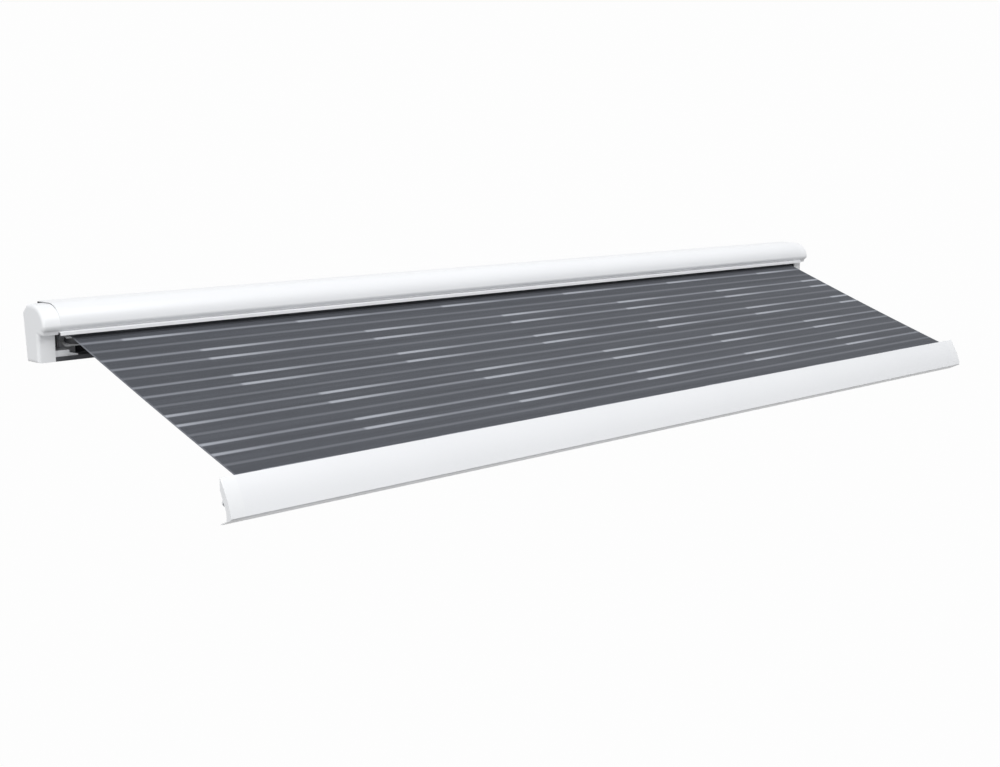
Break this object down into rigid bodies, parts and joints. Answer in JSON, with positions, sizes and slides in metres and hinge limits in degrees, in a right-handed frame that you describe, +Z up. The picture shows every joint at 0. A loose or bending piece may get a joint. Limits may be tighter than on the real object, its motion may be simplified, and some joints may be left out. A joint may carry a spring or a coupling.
{
  "type": "roll out awning",
  "caption": "Wall mounted cassette awning with folding arms, a striped fabric on a geared roller and a lead rail holding stowed support legs.",
  "frame": {"origin": "on the wall, midway along the casing, at the middle of the middle wall bracket's four holes", "axes": "+X along the casing towards the crank end, +Y into the wall, +Z up"},
  "size_m": [3, 0.7059, 0.3897],
  "materials": {
    "white_paint": "gloss white powder coat",
    "dark_paint": "satin dark grey coat",
    "white_plastic": "moulded white plastic",
    "bare_aluminium": "mill finish",
    "cast_white": "powder coated casting",
    "steel": "zinc plated",
    "grey_plastic": "moulded grey plastic",
    "brass": "plain bearing brass",
    "cloth": "woven grey stripe",
    "rubber": "black rubber"
  },
  "bodies": {
    "casing": {"back_profile": "dark_paint", "casing_screws": "steel", "end_plates": "dark_paint", "gear_housing": "grey_plastic", "left_end_cap": "white_plastic", "left_shoulder_bracket": "cast_white", "right_end_cap": "white_plastic", "right_shoulder_bracket": "cast_white", "roller_bushes": "brass", "roller_cover": "white_paint", "shoulder_pins": "steel", "wall_brackets": "cast_white", "wall_seal": "rubber"},
    "roller": {"roller_tube": "bare_aluminium", "roller_drive_plug": "grey_plastic", "roller_idler_plug": "grey_plastic", "fabric_roll": "cloth", "worm_wheel": "brass"},
    "crank": {"worm_shaft": "steel"},
    "fabric": {"fabric_sheet": "cloth"},
    "lead_rail": {"lead_rail": "white_paint", "left_rail_cap": "white_plastic", "right_rail_cap": "white_plastic", "left_wrist_bracket": "cast_white", "right_wrist_bracket": "cast_white", "wrist_pins": "steel", "left_leg_hinge": "grey_plastic", "right_leg_hinge": "grey_plastic", "leg_pins": "steel", "leg_clips": "grey_plastic", "front_keder": "cloth"},
    "left_inner_arm": {"left_inner_arm_tube": "white_paint", "left_shoulder_knuckle": "cast_white", "left_elbow_fork": "cast_white", "left_elbow_pin": "steel", "left_arm_spring": "steel"},
    "left_outer_arm": {"left_outer_arm_tube": "white_paint", "left_elbow_eye": "cast_white", "left_wrist_eye": "cast_white"},
    "left_leg": {"left_leg_head": "grey_plastic", "left_leg_tube": "bare_aluminium", "left_leg_clamp": "grey_plastic"},
    "left_leg_slider": {"left_leg_inner": "bare_aluminium", "left_leg_foot": "rubber"},
    "left_lever": {"left_leg_lever": "grey_plastic"},
    "right_inner_arm": {"right_inner_arm_tube": "white_paint", "right_shoulder_knuckle": "cast_white", "right_elbow_fork": "cast_white", "right_elbow_pin": "steel", "right_arm_spring": "steel"},
    "right_outer_arm": {"right_outer_arm_tube": "white_paint", "right_elbow_eye": "cast_white", "right_wrist_eye": "cast_white"},
    "right_leg": {"right_leg_head": "grey_plastic", "right_leg_tube": "bare_aluminium", "right_leg_clamp": "grey_plastic"},
    "right_leg_slider": {"right_leg_inner": "bare_aluminium", "right_leg_foot": "rubber"},
    "right_lever": {"right_leg_lever": "grey_plastic"}
  },
  "joints": [
    {"name": "arms_unfold", "type": "hinge", "parent": "casing", "child": "left_inner_arm", "pos_m": [-1.4, -0.034, -0.011], "axis": [0, 0.3584, -0.9336], "range_deg": [-13.35, 28.33]},
    {"name": "left_elbow", "type": "hinge", "parent": "left_inner_arm", "child": "left_outer_arm", "pos_m": [-0.08077, -0.34255, -0.12944], "axis": [0, 0.3584, -0.9336], "range_deg": [-56.67, 26.71]},
    {"name": "left_wrist", "type": "hinge", "parent": "left_outer_arm", "child": "lead_rail", "pos_m": [-1.4, -0.6511, -0.24788], "axis": [0, 0.3584, -0.9336], "range_deg": [-13.36, 28.34]},
    {"name": "right_shoulder", "type": "hinge", "parent": "casing", "child": "right_inner_arm", "pos_m": [1.4, -0.034, -0.011], "axis": [0, -0.3584, 0.9336], "range_deg": [-13.36, 28.34]},
    {"name": "right_elbow", "type": "hinge", "parent": "right_inner_arm", "child": "right_outer_arm", "pos_m": [0.08077, -0.34255, -0.12944], "axis": [0, 0.3584, -0.9336], "range_deg": [-26.71, 56.67]},
    {"name": "roller_turn", "type": "hinge", "parent": "casing", "child": "roller", "pos_m": [0, -0.049, 0.039], "axis": [-1, 0, 0], "range_deg": [-1203, 2551]},
    {"name": "crank_turn", "type": "hinge", "parent": "casing", "child": "crank", "pos_m": [1.478, -0.0255, 0.039], "axis": [0, 0, 1], "range_deg": [-5288, 11220]},
    {"name": "fabric_pay_out", "type": "slide", "parent": "lead_rail", "child": "fabric", "axis": [0, -0.9336, -0.3584], "range_m": [-1.205, 0.5684], "deforming": ["fabric_sheet"]},
    {"name": "left_leg_swing", "type": "hinge", "parent": "lead_rail", "child": "left_leg", "pos_m": [-1.448, -0.67185, -0.2742], "axis": [0, 0.9336, 0.3584], "range_deg": [0, 95]},
    {"name": "left_leg_slide", "type": "slide", "parent": "left_leg", "child": "left_leg_slider", "axis": [1, 0, 0], "range_m": [0, 0.455]},
    {"name": "left_lever_open", "type": "hinge", "parent": "left_leg", "child": "left_lever", "pos_m": [-0.4912, -0.66684, -0.28727], "axis": [0, -0.9336, -0.3584], "range_deg": [0, 80]},
    {"name": "right_leg_swing", "type": "hinge", "parent": "lead_rail", "child": "right_leg", "pos_m": [1.448, -0.67185, -0.2742], "axis": [0, -0.9336, -0.3584], "range_deg": [0, 95]},
    {"name": "right_leg_slide", "type": "slide", "parent": "right_leg", "child": "right_leg_slider", "axis": [-1, 0, 0], "range_m": [0, 0.455]},
    {"name": "right_lever_open", "type": "hinge", "parent": "right_leg", "child": "right_lever", "pos_m": [0.4912, -0.66684, -0.28727], "axis": [0, 0.9336, 0.3584], "range_deg": [0, 80]}
  ],
  "couplings": [
    {"joint": "left_elbow", "follows": "arms_unfold", "ratio": -2},
    {"joint": "left_wrist", "follows": "arms_unfold", "ratio": 1},
    {"joint": "right_shoulder", "follows": "arms_unfold", "ratio": 1},
    {"joint": "right_elbow", "follows": "arms_unfold", "ratio": 2},
    {"joint": "roller_turn", "follows": "arms_unfold", "ratio": 90},
    {"joint": "crank_turn", "follows": "arms_unfold", "ratio": 396},
    {"joint": "fabric_pay_out", "follows": "arms_unfold", "m_per_rad": -2.4351}
  ]
}
